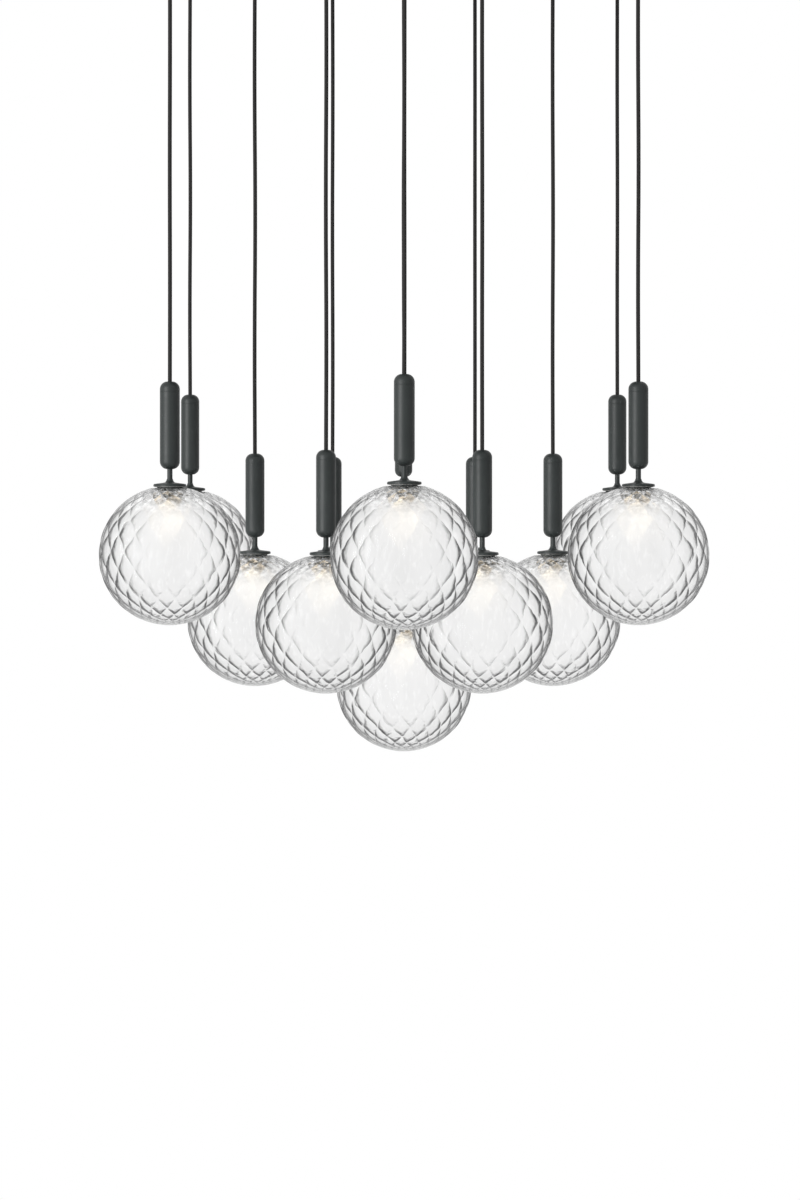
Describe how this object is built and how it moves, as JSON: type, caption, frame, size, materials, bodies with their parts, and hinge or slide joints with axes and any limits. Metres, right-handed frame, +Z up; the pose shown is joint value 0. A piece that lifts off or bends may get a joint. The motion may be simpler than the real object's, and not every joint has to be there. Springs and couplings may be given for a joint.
{
  "type": "cluster pendant",
  "caption": "Cluster of pendants: diamond-cut glass globes on dark capsule holders and textile cords, hung in stepped rings from one round canopy.",
  "frame": {"origin": "centre of the ceiling screw circle, in the ceiling face of the plate and the canopy's rim", "axes": "+Z up through the ceiling along the canopy's axis, +X to the right and +Y to the back as pictured"},
  "size_m": [0.596, 0.6666, 0.8727],
  "materials": {
    "canopy_paint": "satin dark grey paint",
    "plate_steel": "zinc plated",
    "stud_steel": "zinc plated",
    "cap_nut_paint": "satin dark grey paint",
    "terminal_plastic": "moulded plastic",
    "terminal_brass": "plain brass",
    "grip_paint": "satin dark grey paint",
    "nut_brass": "plain brass",
    "cord_textile": "dark textile braid over a round cable",
    "holder_paint": "satin dark grey paint",
    "bulb_glass": "frosted warm white capsule bulb",
    "globe_glass": "clear glass pressed in a diamond relief"
  },
  "bodies": {
    "canopy": {"canopy_pan": "canopy_paint", "ceiling_plate": "plate_steel", "plate_studs": "stud_steel", "cap_nuts": "cap_nut_paint", "terminal_block": "terminal_plastic", "terminal_screws": "terminal_brass", "cord_grips": "grip_paint", "grip_nuts": "nut_brass"},
    "hanging_cord_01": {"cord_01": "cord_textile"},
    "lamp_01": {"holder_01": "holder_paint", "bulb_01": "bulb_glass", "globe_01": "globe_glass"},
    "hanging_cord_02": {"cord_02": "cord_textile"},
    "lamp_02": {"holder_02": "holder_paint", "bulb_02": "bulb_glass", "globe_02": "globe_glass"},
    "hanging_cord_03": {"cord_03": "cord_textile"},
    "lamp_03": {"holder_03": "holder_paint", "bulb_03": "bulb_glass", "globe_03": "globe_glass"},
    "hanging_cord_04": {"cord_04": "cord_textile"},
    "lamp_04": {"holder_04": "holder_paint", "bulb_04": "bulb_glass", "globe_04": "globe_glass"},
    "hanging_cord_05": {"cord_05": "cord_textile"},
    "lamp_05": {"holder_05": "holder_paint", "bulb_05": "bulb_glass", "globe_05": "globe_glass"},
    "hanging_cord_06": {"cord_06": "cord_textile"},
    "lamp_06": {"holder_06": "holder_paint", "bulb_06": "bulb_glass", "globe_06": "globe_glass"},
    "hanging_cord_07": {"cord_07": "cord_textile"},
    "lamp_07": {"holder_07": "holder_paint", "bulb_07": "bulb_glass", "globe_07": "globe_glass"},
    "hanging_cord_08": {"cord_08": "cord_textile"},
    "lamp_08": {"holder_08": "holder_paint", "bulb_08": "bulb_glass", "globe_08": "globe_glass"},
    "hanging_cord_09": {"cord_09": "cord_textile"},
    "lamp_09": {"holder_09": "holder_paint", "bulb_09": "bulb_glass", "globe_09": "globe_glass"},
    "hanging_cord_10": {"cord_10": "cord_textile"},
    "lamp_10": {"holder_10": "holder_paint", "bulb_10": "bulb_glass", "globe_10": "globe_glass"},
    "hanging_cord_11": {"cord_11": "cord_textile"},
    "lamp_11": {"holder_11": "holder_paint", "bulb_11": "bulb_glass", "globe_11": "globe_glass"},
    "hanging_cord_12": {"cord_12": "cord_textile"},
    "lamp_12": {"holder_12": "holder_paint", "bulb_12": "bulb_glass", "globe_12": "globe_glass"},
    "hanging_cord_13": {"cord_13": "cord_textile"},
    "lamp_13": {"holder_13": "holder_paint", "bulb_13": "bulb_glass", "globe_13": "globe_glass"}
  },
  "joints": [
    {"name": "swing_01", "type": "hinge", "parent": "canopy", "child": "hanging_cord_01", "pos_m": [0, 0, -0.043], "axis": [1, 0, 0], "range_deg": [-1, 1]},
    {"name": "turn_01", "type": "hinge", "parent": "hanging_cord_01", "child": "lamp_01", "pos_m": [0, 0, -0.043], "axis": [0, 0, 1], "range_deg": [-180, 180]},
    {"name": "swing_02", "type": "hinge", "parent": "canopy", "child": "hanging_cord_02", "pos_m": [0.152, 0, -0.043], "axis": [0, -1, 0], "range_deg": [-0.7, 15]},
    {"name": "turn_02", "type": "hinge", "parent": "hanging_cord_02", "child": "lamp_02", "pos_m": [0.152, 0, -0.043], "axis": [0, 0, 1], "range_deg": [-180, 180]},
    {"name": "swing_03", "type": "hinge", "parent": "canopy", "child": "hanging_cord_03", "pos_m": [0.076, 0.13164, -0.043], "axis": [0.866, -0.5, 0], "range_deg": [-0.7, 15]},
    {"name": "turn_03", "type": "hinge", "parent": "hanging_cord_03", "child": "lamp_03", "pos_m": [0.076, 0.13164, -0.043], "axis": [0, 0, 1], "range_deg": [-180, 180]},
    {"name": "swing_04", "type": "hinge", "parent": "canopy", "child": "hanging_cord_04", "pos_m": [-0.076, 0.13164, -0.043], "axis": [0.866, 0.5, 0], "range_deg": [-0.7, 15]},
    {"name": "turn_04", "type": "hinge", "parent": "hanging_cord_04", "child": "lamp_04", "pos_m": [-0.076, 0.13164, -0.043], "axis": [0, 0, 1], "range_deg": [-180, 180]},
    {"name": "swing_05", "type": "hinge", "parent": "canopy", "child": "hanging_cord_05", "pos_m": [-0.152, 0, -0.043], "axis": [0, 1, 0], "range_deg": [-0.7, 15]},
    {"name": "turn_05", "type": "hinge", "parent": "hanging_cord_05", "child": "lamp_05", "pos_m": [-0.152, 0, -0.043], "axis": [0, 0, 1], "range_deg": [-180, 180]},
    {"name": "swing_06", "type": "hinge", "parent": "canopy", "child": "hanging_cord_06", "pos_m": [-0.076, -0.13164, -0.043], "axis": [-0.866, 0.5, 0], "range_deg": [-0.7, 15]},
    {"name": "turn_06", "type": "hinge", "parent": "hanging_cord_06", "child": "lamp_06", "pos_m": [-0.076, -0.13164, -0.043], "axis": [0, 0, 1], "range_deg": [-180, 180]},
    {"name": "swing_07", "type": "hinge", "parent": "canopy", "child": "hanging_cord_07", "pos_m": [0.076, -0.13164, -0.043], "axis": [-0.866, -0.5, 0], "range_deg": [-0.7, 15]},
    {"name": "turn_07", "type": "hinge", "parent": "hanging_cord_07", "child": "lamp_07", "pos_m": [0.076, -0.13164, -0.043], "axis": [0, 0, 1], "range_deg": [-180, 180]},
    {"name": "swing_08", "type": "hinge", "parent": "canopy", "child": "hanging_cord_08", "pos_m": [0.228, 0.13164, -0.043], "axis": [0.5, -0.866, 0], "range_deg": [-2, 15]},
    {"name": "turn_08", "type": "hinge", "parent": "hanging_cord_08", "child": "lamp_08", "pos_m": [0.228, 0.13164, -0.043], "axis": [0, 0, 1], "range_deg": [-180, 180]},
    {"name": "swing_09", "type": "hinge", "parent": "canopy", "child": "hanging_cord_09", "pos_m": [0, 0.26327, -0.043], "axis": [1, 0, 0], "range_deg": [-2, 15]},
    {"name": "turn_09", "type": "hinge", "parent": "hanging_cord_09", "child": "lamp_09", "pos_m": [0, 0.26327, -0.043], "axis": [0, 0, 1], "range_deg": [-180, 180]},
    {"name": "swing_10", "type": "hinge", "parent": "canopy", "child": "hanging_cord_10", "pos_m": [-0.228, 0.13164, -0.043], "axis": [0.5, 0.866, 0], "range_deg": [-2, 15]},
    {"name": "turn_10", "type": "hinge", "parent": "hanging_cord_10", "child": "lamp_10", "pos_m": [-0.228, 0.13164, -0.043], "axis": [0, 0, 1], "range_deg": [-180, 180]},
    {"name": "swing_11", "type": "hinge", "parent": "canopy", "child": "hanging_cord_11", "pos_m": [-0.228, -0.13164, -0.043], "axis": [-0.5, 0.866, 0], "range_deg": [-2, 15]},
    {"name": "turn_11", "type": "hinge", "parent": "hanging_cord_11", "child": "lamp_11", "pos_m": [-0.228, -0.13164, -0.043], "axis": [0, 0, 1], "range_deg": [-180, 180]},
    {"name": "swing_12", "type": "hinge", "parent": "canopy", "child": "hanging_cord_12", "pos_m": [0, -0.26327, -0.043], "axis": [-1, 0, 0], "range_deg": [-2, 15]},
    {"name": "turn_12", "type": "hinge", "parent": "hanging_cord_12", "child": "lamp_12", "pos_m": [0, -0.26327, -0.043], "axis": [0, 0, 1], "range_deg": [-180, 180]},
    {"name": "swing_13", "type": "hinge", "parent": "canopy", "child": "hanging_cord_13", "pos_m": [0.228, -0.13164, -0.043], "axis": [-0.5, -0.866, 0], "range_deg": [-2, 15]},
    {"name": "turn_13", "type": "hinge", "parent": "hanging_cord_13", "child": "lamp_13", "pos_m": [0.228, -0.13164, -0.043], "axis": [0, 0, 1], "range_deg": [-180, 180]}
  ]
}
